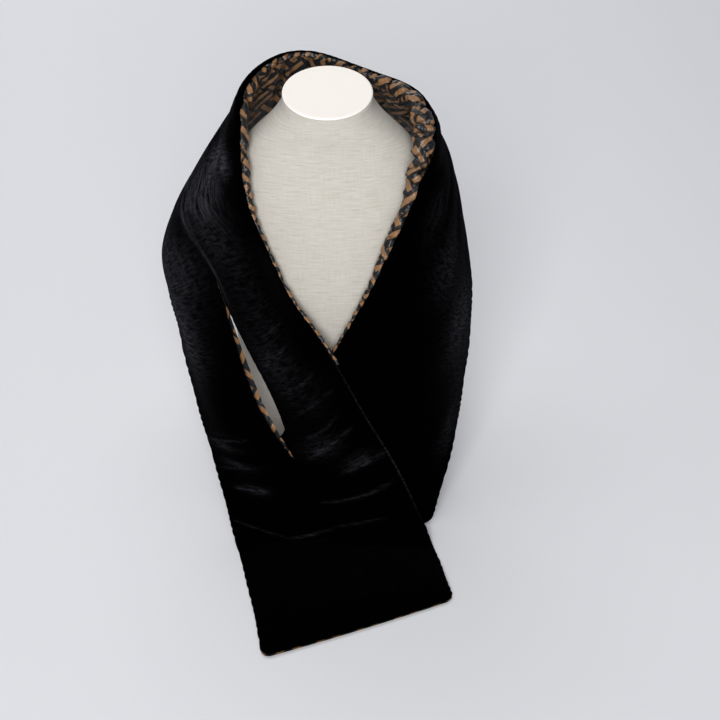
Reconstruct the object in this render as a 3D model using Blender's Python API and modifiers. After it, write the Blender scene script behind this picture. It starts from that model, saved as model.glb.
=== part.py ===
"""A padded velvet scarf with a pull-through slot, laid over a linen display bust.

Metres, +Z up, +X to the right of someone who faces the bust, and its front towards -Y.
The origin is the centre of the bust's underside, on the table. The scarf is one long padded
band: a velvet face and a printed lining, sewn together round the edge and round the slot, with
the lining rolled over the neck edge in small gathers. The band runs from the plain end on the
right, behind the neck, to the slotted end on the left, which crosses over the plain end and
lies on the table.
"""

import math
from collections import namedtuple

import bpy
import numpy as np

# Gaps and walls
SEAM_GAP = 0.0003  # between any two pieces that meet
VELVET_PADDING = 0.0085  # velvet face to the middle of the band, at its fullest
LINING_PADDING = 0.0055  # lining face to the middle of the band, at its fullest
SEAM_WALL = 0.0018  # each face's thickness where it runs out into a seam
PILLOW_POWER = 0.55  # how quickly the padding fills out from a seam

BAND_WIDTH = 0.215  # across the flat band, seam to seam

# Places along the band, as lengths from the back of the neck
PLAIN_CUT = -0.205  # the plain end and the neck's stretch are two nodes from here on
SLOTTED_CUT = 0.205
CREASE_START = 0.215  # a crease leads from the shoulder down into the slot
SLOT_START = 0.312
SLOT_END = 0.523
HALVES_END = 0.05  # below the slot, over which its two halves become one pillow again
END_TAPER = 0.045  # at both ends, over which the padding runs out

INNER_LIP = 0.008  # the most that each lip stands back from the slot's line
OUTER_LIP = 0.014
SLOT_SKEW = 1.4  # above 1, the widest place is nearer the slot's lower end
TUCK_WIDTH = 0.22  # share of the band's width over which its neck edge turns in or out
PUFF = 0.013  # how far each half of the slotted end swells beside the slot
CORNER_RADIUS = 0.010  # of the rounded corners at both ends
FACES_UP = 0.5  # a surface whose unit normal rises more than this can lie on the table

# Density of the walls' points
ROW_STEP = 0.0135
COLUMNS = 12  # across the band; an even number, so that one column lies on the slot
SEAM_CLOSENESS = 0.35  # from 0, columns evenly apart, to 1, as close at the seams as a cosine
TINY_STEP = 1e-3  # over which directions along and across the band are measured
WALL_SMOOTHING = math.radians(50)  # edges sharper than this stay sharp

# The rolled and gathered neck edge
GATHER_PITCH = 0.0135
GATHER_DEPTH = 0.26  # share of the roll's radius that a gather takes away
POINTS_PER_GATHER = 2
END_STUB = 0.0024  # a short straight length at each end, so that two stretches meet square
ROLL_REACH = 0.445  # the roll runs this far to each side of the back of the neck
ROLL_ROUNDING = 2  # the curve's bevel resolution, which gives the tube its sides
EDGE_SHARE = 0.02  # of the width, over which the way out of the neck edge is measured

# The bust
CAP_RADIUS = 0.0505
CAP_THICKNESS = 0.003
CAP_TILT = math.radians(12)
CAP_RIM = 0.0008  # bevel of its two edges
CAP_SIDES = 32
NECK_TOP = 0.466
BUST_SIDES = 40
BUST_ROUNDNESS = 2.25  # exponent of the superellipse that each ring follows
BUST_SMOOTHING = math.radians(40)

Station = namedtuple("Station", "inner crown outer roll tuck")
Ring = namedtuple("Ring", "height half_width front back")
Crease = namedtuple("Crease", "along across length depth slant")

# The band's sections from the plain end to the slotted end. Each has a point on the neck edge,
# one on the middle of the band and one on the outer edge, the radius of the rolled edge, and how
# far the neck edge turns in towards the bust, or flares out where that is below 0.
STATIONS = (
    Station((-0.104, -0.122, 0.010), (0.007, -0.158, 0.007), (0.117, -0.168, 0.001), 0.002, 0.0),
    Station((-0.038, -0.104, 0.109), (0.052, -0.134, 0.074), (0.145, -0.108, 0.078), 0.002, 0.0),
    Station((0.008, -0.094, 0.188), (0.088, -0.120, 0.152), (0.156, -0.060, 0.124), 0.002, 0.0),
    Station((0.050, -0.088, 0.264), (0.116, -0.106, 0.236), (0.164, -0.026, 0.180), 0.004, 0.0),
    Station((0.080, -0.079, 0.329), (0.130, -0.082, 0.298), (0.165, 0.006, 0.228), 0.0075, 0.002),
    Station((0.108, -0.060, 0.386), (0.137, -0.036, 0.346), (0.160, 0.030, 0.244), 0.0106, 0.003),
    Station((0.114, -0.027, 0.419), (0.133, 0.022, 0.370), (0.152, 0.056, 0.262), 0.0128, 0.001),
    Station((0.096, 0.026, 0.430), (0.113, 0.068, 0.382), (0.134, 0.090, 0.274), 0.012, -0.006),
    Station((0.054, 0.059, 0.437), (0.070, 0.099, 0.388), (0.084, 0.110, 0.276), 0.007, -0.013),
    Station((-0.004, 0.069, 0.457), (0.000, 0.112, 0.394), (0.000, 0.118, 0.276), 0.004, -0.015),
    Station((-0.051, 0.061, 0.464), (-0.076, 0.098, 0.394), (-0.090, 0.110, 0.276), 0.005, -0.011),
    Station((-0.091, 0.025, 0.447), (-0.116, 0.064, 0.386), (-0.150, 0.090, 0.272), 0.0085, -0.003),
    Station((-0.102, -0.031, 0.415), (-0.143, 0.020, 0.364), (-0.180, 0.056, 0.254), 0.008, 0.002),
    Station((-0.095, -0.062, 0.366), (-0.163, -0.032, 0.325), (-0.187, 0.026, 0.230), 0.0062, 0.003),
    Station((-0.073, -0.079, 0.315), (-0.134, -0.086, 0.298), (-0.186, 0.000, 0.214), 0.004, 0.0),
    Station((-0.046, -0.093, 0.261), (-0.108, -0.104, 0.240), (-0.177, -0.030, 0.196), 0.003, 0.0),
    Station((-0.003, -0.112, 0.203), (-0.077, -0.122, 0.168), (-0.162, -0.066, 0.144), 0.002, 0.0),
    Station((0.041, -0.138, 0.133), (-0.045, -0.146, 0.094), (-0.141, -0.106, 0.080), 0.002, 0.0),
    Station((0.083, -0.170, 0.071), (-0.021, -0.172, 0.040), (-0.123, -0.150, 0.038), 0.002, 0.0),
    Station((0.112, -0.198, 0.012), (0.002, -0.222, 0.006), (-0.107, -0.200, 0.006), 0.002, 0.0),
    Station((0.127, -0.256, 0.004), (0.020, -0.296, 0.004), (-0.085, -0.304, 0.004), 0.002, 0.0),
    Station((0.138, -0.312, 0.003), (0.036, -0.364, 0.003), (-0.067, -0.411, 0.003), 0.002, 0.0),
)
NECK_STATION = 9  # the row of the table that lies at the back of the neck

# The bust's rings, from its underside to its neck
RINGS = (
    Ring(0.000, 0.086, 0.058, 0.054),
    Ring(0.060, 0.094, 0.064, 0.057),
    Ring(0.124, 0.103, 0.070, 0.061),
    Ring(0.175, 0.110, 0.075, 0.064),
    Ring(0.240, 0.116, 0.079, 0.067),
    Ring(0.300, 0.119, 0.076, 0.067),
    Ring(0.340, 0.118, 0.069, 0.064),
    Ring(0.365, 0.114, 0.061, 0.060),
    Ring(0.386, 0.107, 0.053, 0.056),
    Ring(0.403, 0.098, 0.048, 0.052),
    Ring(0.418, 0.085, 0.046, 0.050),
    Ring(0.431, 0.071, 0.047, 0.049),
    Ring(0.442, 0.060, 0.048, 0.049),
    Ring(0.452, 0.0525, 0.0495, 0.0495),
    Ring(NECK_TOP - CAP_THICKNESS, 0.0495, 0.048, 0.048),
)

# The largest creases in the velvet of the slotted end: lengths along and across the band from
# the back of the neck and the neck edge, how long and deep each is, and its slant along the band
CREASES = (
    Crease(0.495, 0.84, 0.34, 0.0022, 0.056),
    Crease(0.537, 0.90, 0.26, 0.0024, 0.060),
    Crease(0.545, 0.22, 0.36, 0.0020, 0.060),
    Crease(0.567, 0.77, 0.34, 0.0026, 0.010),
    Crease(0.574, 0.24, 0.50, 0.0024, 0.015),
    Crease(0.624, 0.58, 0.95, 0.0034, 0.010),
)
CREASE_HALF_WIDTH = 0.009
CREASE_REACH = 1.25  # a crease has faded out this many half lengths from its middle


def clear_scene():
    """Removes whatever the scene holds."""
    for thing in list(bpy.data.objects):
        bpy.data.objects.remove(thing)


def material(name, colour, roughness):
    """A plain non-metallic material."""
    made = bpy.data.materials.new(name)
    made.use_nodes = True
    shader = made.node_tree.nodes["Principled BSDF"]
    shader.inputs["Base Color"].default_value = (*colour, 1.0)
    shader.inputs["Roughness"].default_value = roughness
    shader.inputs["Metallic"].default_value = 0.0
    return made


def natural_spline(knots, values, where):
    """Values of the smooth curve through (knots, values), one row for each of where."""
    count = len(knots)
    gaps = np.diff(knots)
    system = np.eye(count)
    bend = np.zeros_like(values)
    for i in range(1, count - 1):
        system[i, i - 1 : i + 2] = gaps[i - 1], 2 * (gaps[i - 1] + gaps[i]), gaps[i]
        rise = (values[i + 1] - values[i]) / gaps[i]
        bend[i] = 6 * (rise - (values[i] - values[i - 1]) / gaps[i - 1])
    curvature = np.linalg.solve(system, bend)
    k = np.clip(np.searchsorted(knots, where) - 1, 0, count - 2)
    gap = gaps[k][:, None]
    a = (knots[k + 1] - where)[:, None] / gap
    b = 1 - a
    cubic = (a**3 - a) * curvature[k] + (b**3 - b) * curvature[k + 1]
    return a * values[k] + b * values[k + 1] + cubic * gap**2 / 6


def station_lengths():
    """Each station's length along the band from the back of the neck."""
    lines = np.array([(row.inner, row.crown, row.outer) for row in STATIONS])
    steps = np.linalg.norm(np.diff(lines, axis=0), axis=2).mean(axis=1)
    lengths = np.concatenate([[0.0], np.cumsum(steps)])
    return lengths - lengths[NECK_STATION]


LENGTHS = station_lengths()
PLAIN_END, SLOTTED_END = LENGTHS[0], LENGTHS[-1]


def station_value(column, along):
    """One of the stations' single numbers at any length along the band."""
    table = np.array([[getattr(row, column)] for row in STATIONS])
    return natural_spline(LENGTHS, table, along)[:, 0]


def unit(vectors):
    """Each row made one long."""
    return vectors / np.linalg.norm(vectors, axis=1, keepdims=True)


def smooth_step(x):
    """0 below 0, 1 above 1 and an even ease between."""
    x = np.clip(x, 0.0, 1.0)
    return x * x * (3 - 2 * x)


def slot_share(along):
    """How far down the slot a length along the band is, from 0 to 1 and held there beyond."""
    return np.clip((along - SLOT_START) / (SLOT_END - SLOT_START), 0.0, 1.0)


def halving(along):
    """How much the slotted end is two padded halves side by side, from 0 to 1."""
    begin = smooth_step((along - CREASE_START) / (SLOT_START - CREASE_START))
    finish = smooth_step((along - SLOT_END) / HALVES_END)
    return begin * (1 - finish)


def base_surface(along, across):
    """The middle of the band before any swelling: a smooth curve along, an arch across."""
    table = np.array([(row.inner, row.crown, row.outer) for row in STATIONS], float)
    section = natural_spline(LENGTHS, table.reshape(len(table), 9), along)
    inner, crown, outer = section[:, 0:3], section[:, 3:6], section[:, 6:9]
    t = across[:, None]
    return (
        inner * (1 - t) * (1 - 2 * t) + crown * 4 * t * (1 - t) + outer * t * (2 * t - 1)
    )


def run_of_band(along, across):
    """Unit vectors the way the band runs."""
    return unit(base_surface(along + TINY_STEP, across) - base_surface(along - TINY_STEP, across))


def facing(along, across):
    """Unit vectors out of the velvet face."""
    run = run_of_band(along, across)
    width = base_surface(along, across + TINY_STEP) - base_surface(along, across - TINY_STEP)
    return unit(np.cross(width, run))


def pillow(along, across):
    """Share of the full padding, 0 on a seam: one pillow, or two beside the slot."""
    whole = np.sin(math.pi * np.clip(across, 0, 1)) ** PILLOW_POWER
    halves = np.abs(np.sin(2 * math.pi * np.clip(across, 0, 1))) ** PILLOW_POWER
    share = halving(along)
    filled = whole * (1 - share) + halves * share
    ends = np.minimum(along - PLAIN_END, SLOTTED_END - along)
    return filled * np.clip(ends / END_TAPER, 0.0, 1.0) ** PILLOW_POWER


def padding(along, across, fullest):
    """Thickness of one face with its share of the padding."""
    return SEAM_WALL + (fullest - SEAM_WALL) * pillow(along, across)


def crease_depth(along, across):
    """How deep the creases are at a place on the slotted end's velvet."""
    depth = np.zeros_like(along)
    for crease in CREASES:
        off_line = along - crease.along - crease.slant * (across - crease.across)
        off_middle = (across - crease.across) / (crease.length / 2)
        trough = np.exp(-((off_line / CREASE_HALF_WIDTH) ** 2))
        depth += crease.depth * trough * smooth_step(CREASE_REACH - np.abs(off_middle))
    return depth


def band_middle(along, across):
    """The middle of the band: the base surface, swollen beside the slot, kept off the table."""
    normal = facing(along, across)
    swell = PUFF * halving(along) * np.sin(2 * math.pi * across) ** 2
    turn = station_value("tuck", along) * np.clip(1 - across / TUCK_WIDTH, 0.0, 1.0) ** 2
    points = base_surface(along, across) + normal * (swell - turn)[:, None]
    lowest = padding(along, across, LINING_PADDING) + SEAM_GAP / 2
    on_table = normal[:, 2] > FACES_UP
    points[:, 2] = np.where(on_table, np.maximum(points[:, 2], lowest), points[:, 2])
    return points, normal


def rounded_end(along, across):
    """A length along the band, drawn back at the corners of its two ends."""
    to_side = min(across, 1 - across) * BAND_WIDTH
    into_corner = max(0.0, 1 - to_side / CORNER_RADIUS)
    draw_back = CORNER_RADIUS * (1 - math.sqrt(1 - into_corner**2))
    if along == PLAIN_END:
        return along + draw_back
    return along - draw_back if along == SLOTTED_END else along


def band_grid(start, end, lip):
    """Places on one stretch of the band as (along, across), and the faces between them.

    lip is "" for the whole width, or "inner" or "outer" for the half on that side of the slot.
    """
    share = np.arange(COLUMNS + 1) / COLUMNS
    cosine = (1 - np.cos(math.pi * share)) / 2
    columns = (1 - SEAM_CLOSENESS) * share + SEAM_CLOSENESS * cosine
    middle = COLUMNS // 2
    columns = {"": columns, "inner": columns[: middle + 1], "outer": columns[middle:]}[lip]
    stand_back = {"": 0.0, "inner": -INNER_LIP, "outer": OUTER_LIP}[lip]
    parting = {"": 0.0, "inner": -SEAM_GAP / 2, "outer": SEAM_GAP / 2}[lip]
    steps = max(1, round((end - start) / ROW_STEP))
    places = []
    for along in np.linspace(start, end, steps + 1):
        gape = math.sin(math.pi * float(slot_share(along)) ** SLOT_SKEW)
        for across in columns:
            shift = (gape * stand_back + parting) / BAND_WIDTH * (1 - abs(2 * across - 1))
            places.append((rounded_end(along, across), across + shift))
    faces = []
    for i in range(steps):
        for j in range(len(columns) - 1):
            a = i * len(columns) + j
            b = a + len(columns)
            faces += [(a, a + 1, b + 1), (a, b + 1, b)]
    return np.array(places), faces


def closed_wall(name, back, front, faces, finish):
    """A solid between two like sets of points, closed by a rim round every open edge."""
    count = len(back)
    front_faces = [tuple(i + count for i in face) for face in faces]
    back_faces = [face[::-1] for face in faces]
    edges = {(face[k], face[(k + 1) % 3]) for face in faces for k in range(3)}
    rim = []
    for a, b in sorted(edges):
        if (b, a) in edges:
            continue
        if a < b:  # two stretches that meet split their rims the same way
            rim += [(a, b, b + count), (a, b + count, a + count)]
        else:
            rim += [(a, b, a + count), (b, b + count, a + count)]
    mesh = bpy.data.meshes.new(name)
    mesh.from_pydata(np.vstack([back, front]).tolist(), [], front_faces + back_faces + rim)
    mesh.validate()
    mesh.shade_smooth()
    mesh.set_sharp_from_angle(angle=WALL_SMOOTHING)
    mesh.materials.append(finish)
    return add_object(name, mesh)


def add_object(name, data):
    """A new object in the scarf's collection."""
    made = bpy.data.objects.new(name, data)
    bpy.data.collections["display_scarf"].objects.link(made)
    return made


def seam_shift(along, across, start, end):
    """Moves that part one stretch from the next: half a gap along the band, at each cut."""
    shift = np.zeros((len(along), 3))
    run = run_of_band(along, across) * SEAM_GAP / 2
    if start > PLAIN_END:
        shift[along == start] = run[along == start]
    if end < SLOTTED_END:
        shift[along == end] = -run[along == end]
    return shift


def band_stretch(suffix, start, end, velvet, lining, lip=""):
    """The velvet and the lining of one stretch of the band, with a seam's gap between them."""
    places, faces = band_grid(start, end, lip)
    along, across = places[:, 0], places[:, 1]
    middle, normal = band_middle(along, across)
    middle += seam_shift(along, across, start, end)
    velvet_back = middle + normal * SEAM_GAP / 2
    outward = padding(along, across, VELVET_PADDING) - crease_depth(along, across)
    velvet_front = velvet_back + normal * np.maximum(outward, SEAM_WALL)[:, None]
    closed_wall("velvet_" + suffix, velvet_back, velvet_front, faces, velvet)
    lining_front = middle - normal * SEAM_GAP / 2
    inward = padding(along, across, LINING_PADDING)
    lining_back = lining_front - normal * inward[:, None]
    closed_wall("lining_" + suffix, lining_back, lining_front, faces, lining)


def roll_line(along):
    """The middle of the rolled edge, and its radius before it is gathered."""
    edge = np.zeros(len(along))
    middle, normal = band_middle(along, edge)
    away = middle - band_middle(along, edge + EDGE_SHARE)[0]
    run = unit(band_middle(along + TINY_STEP, edge)[0] - band_middle(along - TINY_STEP, edge)[0])
    away = unit(away - run * np.sum(away * run, axis=1)[:, None])
    radius = np.maximum(station_value("roll", along), SEAM_WALL)
    lean = np.abs(np.sum(away * normal, axis=1))  # of the walls' rims, where they turn in
    clearance = 2 * SEAM_GAP + 2 * lean * SEAM_WALL
    return middle + away * (radius + clearance)[:, None], radius


def gathered_edge(suffix, start, end, lining):
    """One stretch of the lining's roll along the neck edge, drawn in by its gathers."""
    gathers = max(1, round((end - start) / GATHER_PITCH))
    count = gathers * POINTS_PER_GATHER + 1
    along = np.linspace(start, end, count)
    centre, radius = roll_line(along)
    phase = np.arange(count) * 2 * math.pi / POINTS_PER_GATHER
    radius = radius * (1 - GATHER_DEPTH * (1 + np.cos(phase)) / 2)
    cuts = along[[0, -1]]
    heading = unit(roll_line(cuts + TINY_STEP)[0] - roll_line(cuts - TINY_STEP)[0])
    first = [centre[0] + heading[0] * reach for reach in (SEAM_GAP / 2, END_STUB)]
    last = [centre[-1] - heading[1] * reach for reach in (END_STUB, SEAM_GAP / 2)]
    centre = [*first, *centre[1:-1], *last]
    radius = [radius[0], *radius, radius[-1]]
    curve = bpy.data.curves.new("gathered_edge_" + suffix, "CURVE")
    curve.dimensions = "3D"
    curve.bevel_depth = 1.0  # each point's own radius is the roll's radius there
    curve.bevel_resolution = ROLL_ROUNDING
    curve.use_fill_caps = True
    line = curve.splines.new("POLY")
    line.points.add(len(centre) - 1)
    for point, place, size in zip(line.points, centre, radius):
        point.co = (*place, 1.0)
        point.radius = size
    curve.materials.append(lining)
    return add_object("gathered_edge_" + suffix, curve)


def bust_ring(ring, tilt=0.0):
    """The points of one ring of the bust, its height sloped to the front by tilt."""
    points = []
    for i in range(BUST_SIDES):
        angle = 2 * math.pi * i / BUST_SIDES
        cosine, sine = math.cos(angle), math.sin(angle)
        power = 2 / BUST_ROUNDNESS
        depth = ring.back if sine > 0 else ring.front
        x = ring.half_width * math.copysign(abs(cosine) ** power, cosine)
        y = depth * math.copysign(abs(sine) ** power, sine)
        points.append((x, y, ring.height + y * math.tan(tilt)))
    return points


def bust_body(linen):
    """The linen form: a loft through its rings, closed by a flat base and a sloped neck."""
    rings = [bust_ring(ring) for ring in RINGS[:-2]]
    rings.append(bust_ring(RINGS[-2], CAP_TILT / 2))
    rings.append(bust_ring(RINGS[-1], CAP_TILT))
    points = [point for ring in rings for point in ring]
    faces = []
    for level in range(len(rings) - 1):
        for i in range(BUST_SIDES):
            a = level * BUST_SIDES + i
            b = level * BUST_SIDES + (i + 1) % BUST_SIDES
            faces.append((a, b, b + BUST_SIDES, a + BUST_SIDES))
    last = (len(rings) - 1) * BUST_SIDES
    faces.append(tuple(range(BUST_SIDES))[::-1])
    faces.append(tuple(range(last, last + BUST_SIDES)))
    mesh = bpy.data.meshes.new("bust_body")
    mesh.from_pydata(points, [], faces)
    mesh.shade_smooth()
    mesh.set_sharp_from_angle(angle=BUST_SMOOTHING)
    mesh.materials.append(linen)
    return add_object("bust_body", mesh)


def bust_cap(cloth):
    """The covered disc on the neck, with a softened rim, lying on the sloped top."""
    bpy.ops.mesh.primitive_cylinder_add(
        vertices=CAP_SIDES, radius=CAP_RADIUS, depth=CAP_THICKNESS, end_fill_type="NGON"
    )
    cap = bpy.context.active_object
    cap.name = cap.data.name = "bust_cap"
    for collection in list(cap.users_collection):
        collection.objects.unlink(cap)
    bpy.data.collections["display_scarf"].objects.link(cap)
    lift = SEAM_GAP / math.cos(CAP_TILT) - CAP_THICKNESS / 2
    cap.location = (0.0, 0.0, NECK_TOP + lift)
    cap.rotation_euler = (CAP_TILT, 0.0, 0.0)
    rim = cap.modifiers.new("rim", "BEVEL")
    rim.width = CAP_RIM
    rim.segments = 1
    rim.limit_method = "ANGLE"
    cap.data.shade_smooth()
    cap.data.set_sharp_from_angle(angle=BUST_SMOOTHING)
    cap.data.materials.append(cloth)
    return cap


def main():
    """Builds the bust, then the scarf from its plain end to its slotted end."""
    clear_scene()
    collection = bpy.data.collections.new("display_scarf")
    bpy.context.scene.collection.children.link(collection)
    velvet = material("black_velvet", (0.006, 0.006, 0.008), 0.75)
    lining = material("printed_lining", (0.10, 0.065, 0.045), 0.5)
    linen = material("natural_linen", (0.60, 0.56, 0.50), 0.9)
    cap_cloth = material("cap_cloth", (0.85, 0.82, 0.76), 0.85)
    bust_body(linen)
    bust_cap(cap_cloth)
    band_stretch("plain_end", PLAIN_END, PLAIN_CUT, velvet, lining)
    band_stretch("neck", PLAIN_CUT, SLOTTED_CUT, velvet, lining)
    band_stretch("left_shoulder", SLOTTED_CUT, SLOT_START, velvet, lining)
    band_stretch("slot_inner_half", SLOT_START, SLOT_END, velvet, lining, "inner")
    band_stretch("slot_outer_half", SLOT_START, SLOT_END, velvet, lining, "outer")
    band_stretch("slotted_end", SLOT_END, SLOTTED_END, velvet, lining)
    gathered_edge("plain_end", -ROLL_REACH, PLAIN_CUT, lining)
    gathered_edge("neck", PLAIN_CUT, SLOTTED_CUT, lining)
    gathered_edge("slotted_end", SLOTTED_CUT, ROLL_REACH, lining)


main()
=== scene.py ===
"""The looks of a padded velvet scarf with a pull-through slot, laid over a linen display bust.

Metres, +Z up, +X to the right of someone who faces the bust, and its front towards -Y. The
scarf is one long padded band. A place on it is a length along it from the back of the neck and
a share of its width across it from the neck edge, and its surface is the same smooth curve
through the same sections as the CAD solids that the cloth here stands for.
"""

import logging
import math
from collections.abc import Callable
from dataclasses import dataclass
from enum import Enum
from functools import partial

import bpy
import numpy as np
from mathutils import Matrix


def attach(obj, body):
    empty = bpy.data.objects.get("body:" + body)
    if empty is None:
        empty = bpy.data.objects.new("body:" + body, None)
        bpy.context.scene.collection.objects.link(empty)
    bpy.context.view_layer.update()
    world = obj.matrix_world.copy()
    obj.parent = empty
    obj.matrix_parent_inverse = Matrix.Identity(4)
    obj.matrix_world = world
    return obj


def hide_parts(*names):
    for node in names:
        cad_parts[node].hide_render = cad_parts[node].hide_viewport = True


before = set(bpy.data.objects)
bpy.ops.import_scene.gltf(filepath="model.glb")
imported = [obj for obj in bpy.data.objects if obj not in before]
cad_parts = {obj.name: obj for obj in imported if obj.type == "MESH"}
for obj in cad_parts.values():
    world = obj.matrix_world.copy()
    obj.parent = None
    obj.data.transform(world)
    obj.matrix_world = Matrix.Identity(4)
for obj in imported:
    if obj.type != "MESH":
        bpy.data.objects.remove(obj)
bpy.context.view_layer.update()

LOG = logging.getLogger("scarf")
TINY_STEP = 1e-3  # over which directions along and across the band are measured


class Lip(Enum):
    """The two sides of the slot, and which way each stands back from its line."""

    INNER = -1
    OUTER = 1


@dataclass(frozen=True)
class Station:
    """One section of the band.

    inner, crown and outer are its points on the neck edge, the middle and the outer edge, roll
    is the radius of the rolled edge, and tuck is how far the neck edge turns in to the bust, or
    flares out where that is below 0.
    """

    inner: tuple
    crown: tuple
    outer: tuple
    roll: float
    tuck: float


@dataclass(frozen=True)
class Fold:
    """A soft trough in the cloth, or a ridge where its depth is below 0.

    start and end are places on the band, depth and half_width are in metres, and bow is how far
    the fold's middle stands off its straight line.
    """

    start: tuple
    end: tuple
    depth: float
    half_width: float
    bow: float = 0.0


@dataclass(frozen=True)
class SheenPatch:
    """A patch where the velvet's colour is painted a lighter grey: painted sheen where its pile
    catches the light, and crushed pile round the back.

    along and across are its middle, half_length is in metres along the band and half_width is a
    share of its width. shine is its strength, and streaky is how far its flecks draw out into
    streaks along the band, both from 0 to 1.
    """

    along: float
    across: float
    half_length: float
    half_width: float
    shine: float
    streaky: float = 0.0


@dataclass(frozen=True)
class SoftLight:
    """A square soft light: where it stands, the point it faces, its width and its watts."""

    name: str
    place: tuple
    aim: tuple
    size: float
    power: float


STATIONS = (
    Station((-0.104, -0.122, 0.010), (0.007, -0.158, 0.007), (0.117, -0.168, 0.001), 0.002, 0.0),
    Station((-0.038, -0.104, 0.109), (0.052, -0.134, 0.074), (0.145, -0.108, 0.078), 0.002, 0.0),
    Station((0.008, -0.094, 0.188), (0.088, -0.120, 0.152), (0.156, -0.060, 0.124), 0.002, 0.0),
    Station((0.050, -0.088, 0.264), (0.116, -0.106, 0.236), (0.164, -0.026, 0.180), 0.004, 0.0),
    Station((0.080, -0.079, 0.329), (0.130, -0.082, 0.298), (0.165, 0.006, 0.228), 0.0075, 0.002),
    Station((0.108, -0.060, 0.386), (0.137, -0.036, 0.346), (0.160, 0.030, 0.244), 0.0106, 0.003),
    Station((0.114, -0.027, 0.419), (0.133, 0.022, 0.370), (0.152, 0.056, 0.262), 0.0128, 0.001),
    Station((0.096, 0.026, 0.430), (0.113, 0.068, 0.382), (0.134, 0.090, 0.274), 0.012, -0.006),
    Station((0.054, 0.059, 0.437), (0.070, 0.099, 0.388), (0.084, 0.110, 0.276), 0.007, -0.013),
    Station((-0.004, 0.069, 0.457), (0.000, 0.112, 0.394), (0.000, 0.118, 0.276), 0.004, -0.015),
    Station((-0.051, 0.061, 0.464), (-0.076, 0.098, 0.394), (-0.090, 0.110, 0.276), 0.005, -0.011),
    Station((-0.091, 0.025, 0.447), (-0.116, 0.064, 0.386), (-0.150, 0.090, 0.272), 0.0085, -0.003),
    Station((-0.102, -0.031, 0.415), (-0.143, 0.020, 0.364), (-0.180, 0.056, 0.254), 0.008, 0.002),
    Station((-0.095, -0.062, 0.366), (-0.163, -0.032, 0.325), (-0.187, 0.026, 0.230), 0.0062, 0.003),
    Station((-0.073, -0.079, 0.315), (-0.134, -0.086, 0.298), (-0.186, 0.000, 0.214), 0.004, 0.0),
    Station((-0.046, -0.093, 0.261), (-0.108, -0.104, 0.240), (-0.177, -0.030, 0.196), 0.003, 0.0),
    Station((-0.003, -0.112, 0.203), (-0.077, -0.122, 0.168), (-0.162, -0.066, 0.144), 0.002, 0.0),
    Station((0.041, -0.138, 0.133), (-0.045, -0.146, 0.094), (-0.141, -0.106, 0.080), 0.002, 0.0),
    Station((0.083, -0.170, 0.071), (-0.021, -0.172, 0.040), (-0.123, -0.150, 0.038), 0.002, 0.0),
    Station((0.112, -0.198, 0.012), (0.002, -0.222, 0.006), (-0.107, -0.200, 0.006), 0.002, 0.0),
    Station((0.127, -0.256, 0.004), (0.020, -0.296, 0.004), (-0.085, -0.304, 0.004), 0.002, 0.0),
    Station((0.138, -0.312, 0.003), (0.036, -0.364, 0.003), (-0.067, -0.411, 0.003), 0.002, 0.0),
)
NECK_STATION = 9  # the one at the back of the neck

# Painted highlights: lines where velvet catches the light on a fold's crest, painted lighter into
# its colour; depth here is a share of full shine
VELVET_GLEAMS = (
    Fold((0.508, 1.0), (0.489, 0.66), 0.35, 0.0016, 0.003),
    Fold((0.546, 1.0), (0.533, 0.78), 0.35, 0.0016),
    Fold((0.571, 0.94), (0.569, 0.68), 0.35, 0.0016, 0.003),
    Fold((0.581, 0.48), (0.575, 0.02), 0.40, 0.0014, -0.004),
    Fold((0.550, 0.30), (0.548, -0.02), 0.40, 0.0018),
    Fold((0.524, 0.44), (0.508, 0.06), 0.35, 0.0018, 0.003),
    Fold((0.497, 0.40), (0.486, 0.12), 0.30, 0.0016, -0.002),
    Fold((0.468, 0.38), (0.462, 0.08), 0.25, 0.0016, 0.002),
    Fold((0.440, 0.40), (0.432, 0.14), 0.25, 0.0018, -0.002),
    Fold((0.408, 0.42), (0.392, 0.20), 0.25, 0.0018, 0.002),
    Fold((0.372, 0.34), (0.366, 0.14), 0.20, 0.0018),
    Fold((0.615, 1.02), (0.634, 0.68), 0.38, 0.0013, 0.002),
    Fold((0.637, 0.76), (0.616, 0.42), 0.38, 0.0013),
    Fold((0.618, 0.48), (0.612, 0.14), 0.26, 0.0013, 0.003),
    Fold((0.215, 0.36), (0.300, 0.46), 0.50, 0.0018),
    Fold((0.190, 0.30), (0.262, 0.31), 0.60, 0.0020),
    Fold((0.182, 0.24), (0.240, 0.20), 0.50, 0.0022, 0.002),
    Fold((0.390, 0.006), (0.640, 0.006), 0.55, 0.0007),
)

# Places along the band, and how far round the roll from its tip the velvet stops and the lining
# starts there, in radians
ROLL_SEAM = (
    (-0.445, 2.80),
    (-0.280, 2.80),
    (-0.220, 2.50),
    (-0.170, 1.90),
    (-0.130, 1.35),
    (-0.060, 1.00),
    (0.000, 0.20),
    (0.050, -0.15),
    (0.100, -0.05),
    (0.150, 0.40),
    (0.190, 0.95),
    (0.240, 1.80),
    (0.300, 2.40),
    (0.445, 2.80),
)

# The roll's gathers: mean spacing, depth as a share of the deepest, and half width, in metres
GATHERS = (
    (0.0170, 0.80, 0.0036),
    (0.0080, 0.42, 0.0014),
)

# The CAD model's stretches of the band and of its roll, which one piece of cloth stands for here
BAND_STRETCHES = (
    "plain_end",
    "neck",
    "left_shoulder",
    "slot_inner_half",
    "slot_outer_half",
    "slotted_end",
)
ROLL_STRETCHES = ("plain_end", "neck", "slotted_end")
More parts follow.
